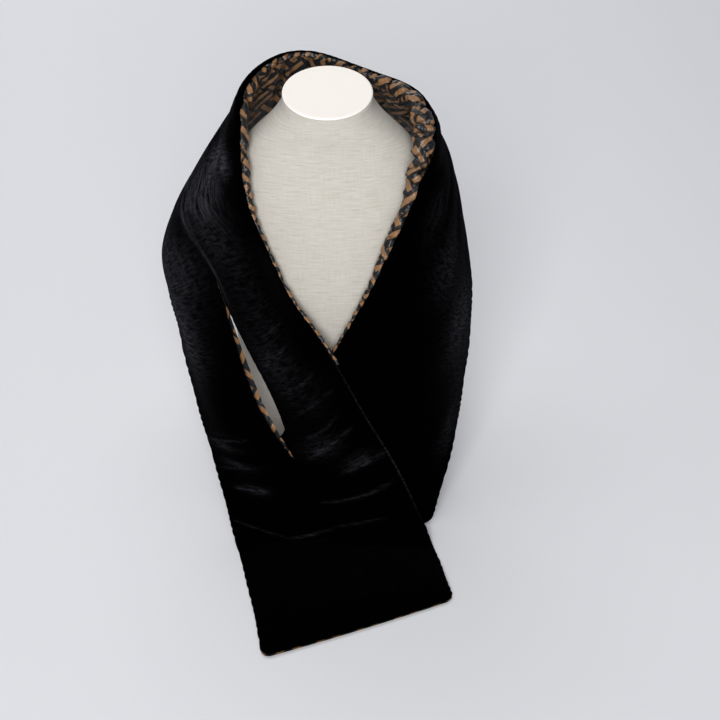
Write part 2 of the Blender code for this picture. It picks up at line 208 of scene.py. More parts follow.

# The velvet's main folds
VELVET_FOLDS = (
    # down from the left shoulder
    Fold((0.150, 0.30), (0.262, 0.30), -0.0020, 0.006),
    Fold((0.165, 0.155), (0.232, 0.14), 0.0022, 0.004),
    Fold((0.158, 0.23), (0.258, 0.20), 0.0030, 0.005, 0.002),
    Fold((0.185, 0.40), (0.300, 0.455), 0.0032, 0.005, -0.003),
    Fold((0.205, 0.27), (0.268, 0.36), 0.0018, 0.004),
    Fold((0.176, 0.50), (0.236, 0.55), 0.0020, 0.006),
    Fold((0.168, 0.63), (0.262, 0.70), 0.0024, 0.007, 0.004),
    Fold((0.240, 0.60), (0.330, 0.66), 0.0018, 0.006, -0.003),
    Fold((0.345, 0.79), (0.430, 0.83), 0.0018, 0.006, 0.003),
    Fold((0.300, 0.86), (0.352, 0.84), 0.0014, 0.005),
    # between the neck edge and the slot
    Fold((0.352, 0.30), (0.396, 0.36), 0.0012, 0.006),
    Fold((0.418, 0.38), (0.452, 0.24), 0.0014, 0.006),
    # over the right shoulder
    Fold((-0.150, 0.34), (-0.262, 0.36), 0.0022, 0.007, 0.003),
    Fold((-0.162, 0.55), (-0.280, 0.58), 0.0026, 0.008, -0.004),
    Fold((-0.178, 0.76), (-0.300, 0.74), 0.0020, 0.007),
    Fold((-0.330, 0.80), (-0.400, 0.86), 0.0016, 0.007, 0.003),
    # round the back, out of sight
    Fold((0.100, 0.18), (0.106, 0.64), 0.0022, 0.008, 0.004),
    Fold((0.052, 0.12), (0.040, 0.50), 0.0018, 0.007, -0.003),
    Fold((0.010, 0.34), (0.016, 0.86), 0.0020, 0.008),
    Fold((-0.042, 0.14), (-0.034, 0.58), 0.0022, 0.007, 0.004),
    Fold((-0.098, 0.20), (-0.106, 0.72), 0.0020, 0.008, -0.004),
    # where the two halves meet again below the slot, and down to the table
    Fold((0.504, 1.02), (0.486, 0.66), 0.0022, 0.0042, 0.003),
    Fold((0.520, 0.60), (0.512, 0.84), 0.0012, 0.0036, -0.002),
    Fold((0.543, 1.02), (0.530, 0.78), 0.0026, 0.0040),
    Fold((0.567, 0.92), (0.566, 0.64), 0.0024, 0.0040, 0.003),
    Fold((0.545, 0.14), (0.552, 0.36), 0.0016, 0.0040, 0.002),
    Fold((0.577, 0.48), (0.571, 0.02), 0.0026, 0.0040, -0.004),
    Fold((0.586, 0.98), (0.592, 0.74), 0.0016, 0.0044),
    Fold((0.615, 1.02), (0.632, 0.68), 0.0034, 0.0050, 0.003),
    Fold((0.634, 0.74), (0.614, 0.26), 0.0030, 0.0050, -0.004),
)
LINING_FOLDS = (
    # small tucks that the seam of the neck edge draws into the collar
    Fold((-0.182, -0.1), (-0.172, 0.30), 0.0038, 0.0040),
    Fold((-0.166, -0.1), (-0.160, 0.22), 0.0030, 0.0034),
    Fold((-0.151, -0.1), (-0.147, 0.42), 0.0041, 0.0044),
    Fold((-0.138, -0.1), (-0.122, 0.50), 0.0075, 0.0062),
    Fold((-0.118, -0.1), (-0.113, 0.28), 0.0038, 0.0038),
    Fold((-0.103, -0.1), (-0.110, 0.44), 0.0064, 0.0052),
    Fold((-0.087, -0.1), (-0.081, 0.20), 0.0030, 0.0032),
    Fold((-0.070, -0.1), (-0.074, 0.40), 0.0046, 0.0050),
    Fold((-0.053, -0.1), (-0.047, 0.26), 0.0035, 0.0038),
    Fold((-0.036, -0.1), (-0.038, 0.35), 0.0043, 0.0044),
    Fold((-0.021, -0.1), (-0.014, 0.22), 0.0030, 0.0034),
    Fold((-0.002, -0.1), (-0.006, 0.38), 0.0046, 0.0050),
    Fold((0.014, -0.1), (0.019, 0.24), 0.0032, 0.0036),
    Fold((0.030, -0.1), (0.025, 0.40), 0.0058, 0.0050),
    Fold((0.048, -0.1), (0.053, 0.30), 0.0035, 0.0038),
    Fold((0.065, -0.1), (0.061, 0.46), 0.0066, 0.0054),
    Fold((0.082, -0.1), (0.088, 0.26), 0.0032, 0.0036),
    Fold((0.097, -0.1), (0.093, 0.34), 0.0038, 0.0042),
    Fold((0.112, -0.1), (0.117, 0.24), 0.0030, 0.0036),
)

# Painted sheen: patches where the velvet's colour is painted a lighter grey, mostly where its pile
# catches the light; those round the back stand for crushed pile
VELVET_SHEEN_PATCHES = (
    # the left shoulder and down its outer side, painted lighter where the light from the upper left
    # catches the pile
    SheenPatch(0.196, 0.17, 0.018, 0.08, 1.3, 0.2),
    SheenPatch(0.206, 0.09, 0.012, 0.05, 0.9, 0.2),
    SheenPatch(0.230, 0.24, 0.030, 0.10, 0.9, 1.0),
    SheenPatch(0.234, 0.36, 0.020, 0.06, 0.5, 0.6),
    SheenPatch(0.212, 0.42, 0.030, 0.10, 0.5, 0.9),
    SheenPatch(0.268, 0.74, 0.045, 0.16, 0.8, 0.35),
    SheenPatch(0.340, 0.86, 0.045, 0.12, 1.05),
    SheenPatch(0.390, 0.88, 0.030, 0.09, 0.42),
    SheenPatch(0.430, 0.95, 0.025, 0.05, 0.06),
    SheenPatch(0.490, 0.96, 0.030, 0.05, 0.04),
    SheenPatch(0.270, 0.455, 0.050, 0.014, 0.8, 1.0),
    # the inner half beside the slot
    SheenPatch(0.275, 0.32, 0.030, 0.12, 0.28, 0.2),
    SheenPatch(0.345, 0.28, 0.045, 0.13, 0.10),
    SheenPatch(0.405, 0.34, 0.030, 0.10, 0.22),
    SheenPatch(0.452, 0.26, 0.030, 0.13, 0.08),
    # beside the folds below the slot
    SheenPatch(0.505, 0.88, 0.006, 0.10, 0.35),
    SheenPatch(0.530, 0.82, 0.005, 0.10, 0.35),
    SheenPatch(0.512, 0.30, 0.012, 0.10, 0.25),
    SheenPatch(0.543, 0.16, 0.007, 0.07, 0.3),
    SheenPatch(0.567, 0.80, 0.006, 0.08, 0.35),
    # the right shoulder and down its outer side
    SheenPatch(-0.237, 0.26, 0.030, 0.07, 0.16, 0.5),
    SheenPatch(-0.280, 0.50, 0.035, 0.11, 0.35),
    SheenPatch(-0.330, 0.78, 0.045, 0.13, 0.75),
    SheenPatch(-0.395, 0.90, 0.045, 0.08, 0.16),
    SheenPatch(-0.470, 0.94, 0.040, 0.06, 0.35),
    # round the back, out of sight
    SheenPatch(0.120, 0.66, 0.050, 0.16, 0.35, 0.5),
    SheenPatch(0.010, 0.55, 0.060, 0.18, 0.30),
    SheenPatch(-0.110, 0.70, 0.060, 0.16, 0.35, 0.4),
)

SOFT_LIGHTS = (
    SoftLight("over", (-0.5, 0.3, 2.3), (-0.1, 0.1, 0.1), 2.0, 16.5),
    SoftLight("front", (-0.4, -5.0, 3.0), (0.0, 0.0, 0.2), 2.2, 232.0),
    SoftLight("low", (0.2, -5.0, 1.1), (0.0, 0.0, 0.2), 2.0, 85.0),
    SoftLight("floor", (-0.7, 2.9, 2.2), (-0.5, 1.5, 0.0), 2.0, 31.0),
)


def unit(vectors: np.ndarray) -> np.ndarray:
    """Each row made one long."""
    return vectors / np.linalg.norm(vectors, axis=1, keepdims=True)


def smooth_step(x: np.ndarray) -> np.ndarray:
    """0 below 0, 1 above 1 and an even ease between."""
    x = np.clip(x, 0.0, 1.0)
    return x * x * (3 - 2 * x)


def natural_spline(knots: np.ndarray, values: np.ndarray, where: np.ndarray) -> np.ndarray:
    """The smooth curve through a table's rows.

    Args:
        knots: Where each row of the table stands, rising.
        values: The table's rows.
        where: The places to read.

    Returns:
        One row for each of where.
    """
    count = len(knots)
    gaps = np.diff(knots)
    system = np.eye(count)
    bend = np.zeros_like(values)
    for i in range(1, count - 1):
        system[i, i - 1 : i + 2] = gaps[i - 1], 2 * (gaps[i - 1] + gaps[i]), gaps[i]
        rise = (values[i + 1] - values[i]) / gaps[i]
        bend[i] = 6 * (rise - (values[i] - values[i - 1]) / gaps[i - 1])
    curvature = np.linalg.solve(system, bend)
    k = np.clip(np.searchsorted(knots, where) - 1, 0, count - 2)
    gap = gaps[k][:, None]
    a = (knots[k + 1] - where)[:, None] / gap
    b = 1 - a
    cubic = (a**3 - a) * curvature[k] + (b**3 - b) * curvature[k + 1]
    return a * values[k] + b * values[k + 1] + cubic * gap**2 / 6


def ripple(along: np.ndarray, pitch: float, seed: float) -> np.ndarray:
    """An uneven wave, as gathers and puckers come: about -1 to 1, its pitch and height wandering.

    Args:
        along: Places on the line, in metres.
        pitch: The waves' mean spacing, in metres.
        seed: Any number; each gives another wave.

    Returns:
        The wave's height at each place.
    """
    turn = 2 * math.pi * along / pitch
    # the periods have no common multiple nearby, so the wave doesn't repeat along the scarf
    phase = turn + 1.5 * np.sin(turn / 5.3 + seed) + 0.9 * np.sin(turn / 2.7 + 1.7 * seed)
    height = 0.6 + 0.4 * np.sin(turn / 3.1 + 2.3 * seed)
    return height * np.sin(phase)


def scallops(along: np.ndarray, pitch: float, seed: float) -> np.ndarray:
    """A seam's row of uneven rounded lobes with narrow dips between, from -1 in a dip to 1."""
    return 2 * np.abs(ripple(along, 2 * pitch, seed)) ** 0.55 - 1


def lumps(x: np.ndarray, y: np.ndarray, size: float, seed: int) -> np.ndarray:
    """Soft uneven lumps over a surface, about -1 to 1.

    Args:
        x: Places one way, in metres.
        y: Places the other way, in metres.
        size: The lumps' mean size, in metres.
        seed: Each gives other lumps.

    Returns:
        The lumps' height at each place.
    """
    table = np.random.default_rng(seed).uniform(-1, 1, (64, 64))
    u, v = x / size, y / size
    i, j = np.floor(u).astype(int), np.floor(v).astype(int)
    fu, fv = smooth_step(u - i), smooth_step(v - j)
    low = table[i % 64, j % 64] * (1 - fu) + table[(i + 1) % 64, j % 64] * fu
    high = table[i % 64, (j + 1) % 64] * (1 - fu) + table[(i + 1) % 64, (j + 1) % 64] * fu
    return low * (1 - fv) + high * fv


def crumples(x: np.ndarray, y: np.ndarray, size: float) -> np.ndarray:
    """Crisp creases between flat places, as thin cloth crumples: about -1 to 1."""
    fine = 1 - 2 * np.abs(lumps(x + y, y - x, size / 2, 23))
    return 0.65 * (1 - 2 * np.abs(lumps(x, y, size, 7))) + 0.35 * fine


def linear(colour: str) -> tuple:
    """An sRGB hex colour as linear red, green, blue and alpha."""
    parts = (int(colour[i : i + 2], 16) / 255 for i in (1, 3, 5))
    return *(p / 12.92 if p <= 0.04045 else ((p + 0.055) / 1.055) ** 2.4 for p in parts), 1.0


def set_up(tree: bpy.types.NodeTree, node: bpy.types.Node, **settings) -> bpy.types.Node:
    """Gives a node its settings and links.

    Args:
        tree: The material's node tree.
        node: The node.
        settings: The node's own properties by name, and its inputs by name with _ for a space,
            or as in0, in1 and so on. A socket is linked, a colour is made linear, and anything
            else is set as it is.

    Returns:
        The node.
    """
    own = {name: value for name, value in settings.items() if hasattr(node, name)}
    for name, value in own.items():
        setattr(node, name, value)
    for name, value in settings.items():
        if name in own:
            continue
        by_number = name[:2] == "in" and name[2:].isdigit()
        socket = node.inputs[int(name[2:]) if by_number else name.replace("_", " ")]
        if isinstance(value, bpy.types.NodeSocket):
            tree.links.new(value, socket)
        else:
            socket.default_value = linear(value) if isinstance(value, str) else value
    return node


def add_node(
    tree: bpy.types.NodeTree, kind: str, out: int | str = 0, **settings
) -> bpy.types.NodeSocket:
    """Adds one node.

    Args:
        tree: The material's node tree.
        kind: The node's kind, which Blender's own name for it has after "ShaderNode".
        out: Which of its outputs is wanted.
        settings: As for set_up.

    Returns:
        That output.
    """
    return set_up(tree, tree.nodes.new("ShaderNode" + kind), **settings).outputs[out]


def new_material(name: str) -> tuple:
    """A material, and functions that add a node to it and that set up its shader."""
    made = bpy.data.materials.new(name)
    made.use_nodes = True
    tree = made.node_tree
    return made, partial(add_node, tree), partial(set_up, tree, tree.nodes["Principled BSDF"])


@dataclass(frozen=True)
class CrushedVelvet:
    """Black polyester velvet, its pile pressed in patches after weaving.

    Upright pile swallows light, so the eye sees black. Where its pile catches the light, that sheen
    is painted into the colour as a cool grey in flecks, and any pile shines a little at a glancing
    angle.
    """

    deep: str = "#010101"
    painted_sheen_grey: str = "#36353b"
    sheen_tint: str = "#c4c6d4"
    fleck: tuple = (0.011, 0.0032)  # metres across and along the band
    streak: tuple = (0.0042, 0.024)
    pile: float = 0.0011  # metres; the real pile is finer than a pixel, so it's drawn coarser

    def build(self) -> bpy.types.Material:
        """The material, over a mesh whose UV map is in metres of flat cloth."""
        made, add, shader = new_material("black_velvet")
        cloth = add("UVMap", uv_map="cloth")
        flecks, streaks = (
            add(
                "TexNoise", Scale=1.0, Detail=7.0, Roughness=0.72, Distortion=0.3,
                Vector=add("Mapping", Vector=cloth, Scale=(1 / across, 1 / along, 1)),
            )
            for across, along in (self.fleck, self.streak)
        )
        streaky = add("Attribute", "Fac", attribute_name="streaky")
        patches = add("Mix", data_type="FLOAT", in0=streaky, in2=flecks, in3=streaks)
        flat_pile = add("MapRange", Value=patches, From_Min=0.42, From_Max=0.62, To_Min=0.08)
        crush_and_sheen = add("Attribute", "Fac", attribute_name="crush_and_sheen")
        share = add("Math", operation="MULTIPLY", in0=flat_pile, in1=crush_and_sheen)
        # painted sheen: the mark and its flecks turn the black towards a lighter grey
        colour = add("Mix", 2, data_type="RGBA", in0=share, in6=self.deep, in7=self.painted_sheen_grey)
        dents = add("Bump", Strength=0.8, Distance=0.0020, Height=patches)
        pile = add("TexNoise", Vector=cloth, Scale=1 / self.pile, Detail=2.0)
        fibres = add("Bump", Strength=0.3, Distance=0.0005, Height=pile, Normal=dents)
        shader(
            Base_Color=colour, Normal=fibres, Roughness=1.0, Specular_IOR_Level=0.0,
            Sheen_Weight=0.02, Sheen_Roughness=0.3, Sheen_Tint=self.sheen_tint,
        )
        return made


@dataclass(frozen=True)
class PrintedSatin:
    """Light polyester satin, printed, for the lining.

    It is smooth and a little glossy, so its folds carry soft streaks of light. The print is a
    plain basket: short tan bars on charcoal, in pairs that lie each way by turns, on the bias.
    """

    ground: str = "#171719"
    ground_worn: str = "#202022"
    bar: str = "#745539"
    bar_pale: str = "#8a6747"
    # colour of the shade painted into the bottoms of gathers and tucks
    painted_fold_shade: str = "#0d0c0c"
    cell: float = 0.031  # metres; one pair of bars

    def build(self) -> bpy.types.Material:
        """The material, over a mesh whose UV map is in metres of flat cloth."""
        made, add, shader = new_material("printed_lining")
        cloth = add("UVMap", uv_map="cloth")
        bias = add("Mapping", Vector=cloth, Rotation=(0.0, 0.0, math.radians(45)))
        turned = add("TexChecker", "Fac", Vector=bias, Scale=1 / self.cell)
        # a wave texture's bands are 2 pi / 20 apart at a scale of 1, and a cell holds two
        scale = 2 * math.pi / 20 / (self.cell / 2)
        bars_x, bars_y = (
            add("TexWave", "Fac", bands_direction=way, Vector=bias, Scale=scale) for way in "XY"
        )
        wave = add("Mix", data_type="FLOAT", in0=turned, in2=bars_x, in3=bars_y)
        printed = add("MapRange", Value=wave, From_Min=0.60, From_Max=0.68)
        wear = add("TexNoise", Vector=cloth, Scale=220.0, Detail=3.0)
        ground, bars = (
            add("Mix", 2, data_type="RGBA", in0=wear, in6=dark, in7=pale)
            for dark, pale in ((self.ground, self.ground_worn), (self.bar, self.bar_pale))
        )
        colour = add("Mix", 2, data_type="RGBA", in0=printed, in6=ground, in7=bars)
        # painted shade: cloth doubles over inside a gather, deeper than the mesh does, and little
        # light gets in, so its colour is painted darker there
        fold_shade = add("Attribute", "Fac", attribute_name="fold_shade")
        shaded = add("Mix", 2, data_type="RGBA", in0=fold_shade, in6=colour, in7=self.painted_fold_shade)
        creases = add(
            "TexNoise", noise_type="RIDGED_MULTIFRACTAL", Vector=cloth, Scale=105.0, Detail=2.0,
            Distortion=0.5,
        )
        crinkle = add("Bump", Strength=0.8, Distance=0.0022, Height=creases)
        shader(Base_Color=shaded, Normal=crinkle, Roughness=0.34, Specular_IOR_Level=0.3)
        return made


@dataclass(frozen=True)
class NaturalLinen:
    """Plain-woven undyed linen, glued over the form.

    Its threads are uneven, so the eye sees fine lines both ways with longer slubs across.
    """

    thread: str = "#bebbb3"
    shade: str = "#b1aba1"
    slub: str = "#a6a094"
    pitch: float = 0.0011  # metres; real threads are 0.5 mm apart, which is below a pixel

    def build(self) -> bpy.types.Material:
        """The material, over a mesh whose UV map is in metres of flat cloth."""
        made, add, shader = new_material("natural_linen")
        cloth = add("UVMap", uv_map="cloth")
        weft, warp = (
            add("TexNoise", Scale=1.0, Detail=2.0, Vector=add("Mapping", Vector=cloth, Scale=way))
            for way in ((45.0, 1 / self.pitch, 1), (1 / self.pitch, 45.0, 1))
        )
        weave = add("Mix", data_type="FLOAT", in0=0.3, in2=weft, in3=warp)
        tone = add("MapRange", Value=weave, From_Min=0.36, From_Max=0.62)
        slub_way = add("Mapping", Vector=cloth, Scale=(60.0, 520.0, 1))
        slubs = add("TexNoise", Vector=slub_way, Scale=1.0, Detail=1.0)
        is_slub = add("MapRange", Value=slubs, From_Min=0.64, From_Max=0.74, To_Max=0.7)
        threads = add("Mix", 2, data_type="RGBA", in0=tone, in6=self.shade, in7=self.thread)
        colour = add("Mix", 2, data_type="RGBA", in0=is_slub, in6=threads, in7=self.slub)
        relief = add("Bump", Strength=0.5, Distance=0.0004, Height=weave)
        shader(
            Base_Color=colour, Normal=relief, Roughness=0.88, Specular_IOR_Level=0.2,
            Sheen_Weight=0.08,
        )
        return made


@dataclass(frozen=True)
class CreamCotton:
    """Fine bleached cotton, pulled tight over the neck's disc: nearly white, with a dry surface."""

    cloth: str = "#f8f3ed"
    shade: str = "#f2ece5"

    def build(self) -> bpy.types.Material:
        """The material, over a mesh whose UV map is in metres of flat cloth."""
        made, add, shader = new_material("cap_cloth")
        cloth = add("UVMap", uv_map="cloth")
        grain = add("TexNoise", Vector=cloth, Scale=900.0, Detail=2.0)
        colour = add("Mix", 2, data_type="RGBA", in0=grain, in6=self.shade, in7=self.cloth)
        relief = add("Bump", Strength=0.25, Distance=0.0002, Height=grain)
        shader(Base_Color=colour, Normal=relief, Roughness=0.85, Specular_IOR_Level=0.2)
        return made


@dataclass(frozen=True)
class StudioPaper:
    """Matt studio paper for the floor and the backdrop: a pale cool grey without gloss."""

    colour: str = "#e7e8ec"

    def build(self) -> bpy.types.Material:
        """The material."""
        made, _, shader = new_material("studio_paper")
        shader(Base_Color=self.colour, Roughness=0.95, Specular_IOR_Level=0.1)
        return made


def tube_faces(rings: int, sides: int) -> list:
    """The faces of a tube, closed at both ends.

    Args:
        rings: How many rings its points lie in.
        sides: How many points each ring has.

    Returns:
        The faces, as tuples of point numbers.
    """
    faces = [
        (i * sides + j, i * sides + k, (i + 1) * sides + k, (i + 1) * sides + j)
        for i in range(rings - 1)
        for j, k in zip(range(sides), [*range(1, sides), 0])
    ]
    last = (rings - 1) * sides
    return faces + [tuple(range(sides))[::-1], tuple(range(last, last + sides))]


def add_object(
    name: str, data: bpy.types.ID, place: tuple = (0.0, 0.0, 0.0), turn: tuple = (0.0, 0.0, 0.0)
) -> bpy.types.Object:
    """An object in the scene, at a place and turned."""
    made = bpy.data.objects.new(name, data)
    made.location = place
    made.rotation_euler = turn
    bpy.context.scene.collection.objects.link(made)
    return made


def add_mesh(
    name: str, points: np.ndarray | list, faces: list, finish: bpy.types.Material
) -> bpy.types.Object:
    """A smooth mesh in one material."""
    mesh = bpy.data.meshes.new(name)
    mesh.from_pydata(np.asarray(points).tolist(), [], faces)
    mesh.shade_smooth()
    mesh.materials.append(finish)
    return add_object(name, mesh)


def add_piece(
    name: str, points: np.ndarray, faces: list, cloth: np.ndarray, finish: bpy.types.Material,
    stands_for: tuple | list, marks: dict | None = None,
) -> bpy.types.Object:
    """A smooth mesh that rides on the part.

    Args:
        name: The piece's name.
        points: Its points.
        faces: Its faces, as tuples of point numbers.
        cloth: Each point's place on the flat cloth, in metres.
        finish: Its material.
        stands_for: The CAD model's nodes that it replaces.
        marks: Values for each point that the material reads, by name.

    Returns:
        The object.
    """
    made = add_mesh(name, points, faces, finish)
    mesh = made.data
    layer = mesh.uv_layers.new(name="cloth")
    corners = np.empty(len(mesh.loops), dtype=np.int32)
    mesh.loops.foreach_get("vertex_index", corners)
    layer.data.foreach_set("uv", np.asarray(cloth, np.float32)[corners].ravel())
    for mark, values in (marks or {}).items():
        layer = mesh.attributes.new(name=mark, type="FLOAT", domain="POINT")
        layer.data.foreach_set("value", np.asarray(values, np.float32))
    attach(made, "root")
    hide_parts(*stands_for)
    LOG.info("%s: %d faces", name, len(faces))
    return made


@dataclass
class Band:
    """The scarf's padded band: where its middle lies, how thick it is, and its folds."""

    width: float = 0.215
    velvet_fill: float = 0.0085  # velvet face to the middle of the band, at its fullest
    lining_fill: float = 0.0055
    seam: float = 0.0006  # each face's thickness at a seam
    pillow_power: float = 0.5
    puff: float = 0.013  # how far the two halves beside the slot swell out
    crease_start: float = 0.215
    slot_start: float = 0.312
    slot_end: float = 0.523
    halves_end: float = 0.05
    slot_skew: float = 1.4
    inner_lip: float = 0.008
    outer_lip: float = 0.014
    tuck_width: float = 0.22
    end_taper: float = 0.045
    corner: float = 0.010
    row_step: float = 0.0021
    columns: int = 96
    wrap_columns: int = 12  # past the neck edge
    least_roll: float = 0.0016
    full_roll: float = 0.006  # the radius from which the roll is as full as the padding
    roll_reach: float = 0.445  # each way from the back of the neck
    roll_run_out: float = 0.035
    roll_blend: float = 0.045  # how far from the neck edge the padding takes up the roll's height
    over_roll: float = 1.05  # the velvet's height on the roll, as a share of its radius
    lining_rise: float = 0.45  # and the lining's beside it
    edge_width: float = 0.02  # share of the band that gives the direction past its neck edge
    edge_lap: float = 0.0006
    edge_short: float = 0.0004  # of the lining, short of the velvet's neck edge below the roll
    lining_peek: float = 0.0018  # past the velvet at the hem
    peek_reach: float = 0.012
    pucker_pitch: float = 0.0125
    pucker_depth: float = 0.0010
    pucker_reach: float = 0.014
    seam_pucker: float = 0.35  # share of a pucker's depth where the padding ends
    slot_puckers: tuple = (0.02, 0.01)  # how far they go on past the slot's start and its end
    slot_pitch: float = 0.8  # their pitch there, as a share of the seams'
    seam_sway: float = 0.12  # radians by which the seam on the roll wanders
    scallop_depth: float = 0.0008
    scallop_reach: float = 0.010
    neck_scallops: float = 0.4  # depth at the neck edge, as a share of the outer edge's
    fold_ends: float = 0.3  # share of a fold's length over which each of its ends fades
    most_shine: float = 1.3
    lump_height: float = 0.0005  # of the velvet's padding
    lump_size: float = 0.030
    crumple_depth: float = 0.0010  # of the thin lining
    crumple_size: float = 0.016
    table_gap: float = 0.0002
    least_height: float = 1e-4  # of a face off the band's middle

    def __post_init__(self) -> None:
        """Lays the sections out along the band."""
        lines = np.array([(s.inner, s.crown, s.outer) for s in STATIONS], float)
        steps = np.linalg.norm(np.diff(lines, axis=0), axis=2).mean(axis=1)
        lengths = np.concatenate([[0.0], np.cumsum(steps)])
        self.lengths = lengths - lengths[NECK_STATION]
        self.sections = lines.reshape(len(lines), 9)
        self.rolls = np.array([[s.roll, s.tuck] for s in STATIONS])
        self.start, self.end = self.lengths[0], self.lengths[-1]

    def base(self, along: np.ndarray, across: np.ndarray) -> np.ndarray:
        """Points of the band's middle before any swelling."""
        section = natural_spline(self.lengths, self.sections, along)
        inner, crown, outer = section[:, 0:3], section[:, 3:6], section[:, 6:9]
        t = across[:, None]
        return inner * (1 - t) * (1 - 2 * t) + crown * 4 * t * (1 - t) + outer * t * (2 * t - 1)

    def roll_and_tuck(self, along: np.ndarray) -> tuple:
        """The rolled edge's radius and the tuck at each length."""
        roll, tuck = natural_spline(self.lengths, self.rolls, along).T
        return np.maximum(roll, self.least_roll), tuck

    def facing(self, along: np.ndarray, across: np.ndarray) -> np.ndarray:
        """Unit vectors out of the velvet face."""
        run = self.base(along + TINY_STEP, across) - self.base(along - TINY_STEP, across)
        over = self.base(along, across + TINY_STEP) - self.base(along, across - TINY_STEP)
        return unit(np.cross(over, run))

    def halving(self, along: np.ndarray) -> np.ndarray:
        """How much the slotted end is two padded halves side by side, from 0 to 1."""
        begin = smooth_step((along - self.crease_start) / (self.slot_start - self.crease_start))
        return begin * (1 - smooth_step((along - self.slot_end) / self.halves_end))

    def pillow(self, along: np.ndarray, across: np.ndarray) -> np.ndarray:
        """Share of the full padding: one pillow across the band, or two beside the slot.

        Args:
            along: Places along the band.
            across: Shares of its width.

        Returns:
            The share at each place, from 0 at a seam to 1.
        """
        t = np.clip(across, 0, 1)
        whole = np.sin(math.pi * t) ** self.pillow_power
        halves = np.abs(np.sin(2 * math.pi * t)) ** self.pillow_power
        share = self.halving(along)
        ends = np.minimum(along - self.start, self.end - along)
        taper = np.clip(ends / self.end_taper, 0.0, 1.0) ** self.pillow_power
        return (whole * (1 - share) + halves * share) * taper

    def middle(self, along: np.ndarray, across: np.ndarray) -> tuple:
        """The points of the band's middle and the unit vectors out of its velvet face.

        Args:
            along: Places along the band.
            across: Shares of its width.

        Returns:
            One point and one vector for each place.
        """
        across = across + self.scalloped(along, across)
        normal = self.facing(along, across)
        swell = self.puff * self.halving(along) * np.sin(2 * math.pi * across) ** 2
        _, tuck = self.roll_and_tuck(along)
        turned_in = tuck * np.clip(1 - across / self.tuck_width, 0.0, 1.0) ** 2
        points = self.base(along, across) + normal * (swell - turned_in)[:, None]
        lowest = self.lining_fill * self.pillow(along, across) + self.seam
        on_table = normal[:, 2] > 0.5
        points[:, 2] = np.where(on_table, np.maximum(points[:, 2], lowest), points[:, 2])
        return points, normal

    def seam_waves(
        self, along: np.ndarray, across: np.ndarray, reach: float, slot_pitch: float
    ) -> tuple:
        """The rows of small lobes that the stitches draw up along the band's seams.

        Args:
            along: Places along the band.
            across: Shares of its width.
            reach: How far from its seam each row fades, in metres.
            slot_pitch: The mean spacing of the slot's lobes, in metres.

        Returns:
            The wave of the neck edge, the outer edge and the slot, each about -1 to 1.
        """
        rows = (
            (0.0, self.pucker_pitch, 0.4),
            (1.0, self.pucker_pitch, 2.9),
            (0.5, slot_pitch, 5.1),
        )
        return tuple(
            np.exp(-np.abs(across - edge) * self.width / reach) * scallops(along, pitch, seed)
            for edge, pitch, seed in rows
        )

    def scalloped(self, along: np.ndarray, across: np.ndarray) -> np.ndarray:
        """How far its seams' lobes shift the band across itself.

        Args:
            along: Places along the band.
            across: Shares of its width.

        Returns:
            The shift at each place, as a share of the width.
        """
        neck, outer, slot = self.seam_waves(along, across, self.scallop_reach, self.pucker_pitch)
        in_slot = (along > self.slot_start) & (along < self.slot_end)
        wave = outer - self.neck_scallops * neck + slot * in_slot * np.sign(0.5 - across)
        return self.scallop_depth / self.width * wave

    def puckers(self, along: np.ndarray, across: np.ndarray, filled: np.ndarray) -> np.ndarray:
        """Height of the small puckers that the seams draw into the cloth on both sides.

        Args:
            along: Places along the band.
            across: Shares of its width.
            filled: Share of the full padding.

        Returns:
            The height at each place, in metres.
        """
        slot_pitch = self.pucker_pitch * self.slot_pitch
        neck, outer, slot = self.seam_waves(along, across, self.pucker_reach, slot_pitch)
        before, after = self.slot_puckers
        by_slot = (along > self.slot_start - before) & (along < self.slot_end + after)
        share = self.seam_pucker + (1 - self.seam_pucker) * filled
        return self.pucker_depth * (neck + outer + slot * by_slot) * share

    def crush_and_sheen(self, along: np.ndarray, across: np.ndarray) -> dict:
        """How much sheen is painted into the velvet's colour at each place, from its sheen patches
        and the gleams on fold crests, and how streaky its flecks are.

        Args:
            along: Places along the band.
            across: Shares of its width.

        Returns:
            Both, by the names that the velvet reads.
        """
        shine, streaky = np.zeros_like(along), np.zeros_like(along)
        for sheen_patch in VELVET_SHEEN_PATCHES:
            off_along = (along - sheen_patch.along) / sheen_patch.half_length
            off_across = (across - sheen_patch.across) / sheen_patch.half_width
            here = sheen_patch.shine * np.exp(-(off_along**2) - off_across**2)
            shine += here
            streaky += here * sheen_patch.streaky
        # painted highlights on the fold crests join the painted sheen
        gleams = self.fold_depth(VELVET_GLEAMS, along, across)
        streaky = streaky / (shine + 1e-6) * (1 - np.minimum(gleams, 1.0))
        return {"crush_and_sheen": np.minimum(shine + gleams, self.most_shine), "streaky": streaky}

    def fold_depth(self, folds: tuple, along: np.ndarray, across: np.ndarray) -> np.ndarray:
        """How deep the given folds are at each place.

        Args:
            folds: The folds.
            along: Places along the band.
            across: Shares of its width.

        Returns:
            The depth at each place, in metres, below 0 on a ridge.
        """
        depth = np.zeros_like(along)
        across = np.maximum(across, 0.0)
        for fold in folds:
            (s0, t0), (s1, t1) = fold.start, fold.end
            run = np.array([s1 - s0, (t1 - t0) * self.width])
            length = np.hypot(*run)
            run = run / length
            ds, dt = along - s0, (across - t0) * self.width
            on = (ds * run[0] + dt * run[1]) / length
            off = ds * run[1] - dt * run[0]
            off = off - fold.bow * 4 * np.clip(on, 0, 1) * (1 - np.clip(on, 0, 1))
            ends = smooth_step(on / self.fold_ends) * smooth_step((1 - on) / self.fold_ends)
            depth += fold.depth * ends * np.exp(-((off / fold.half_width) ** 2))
        return depth

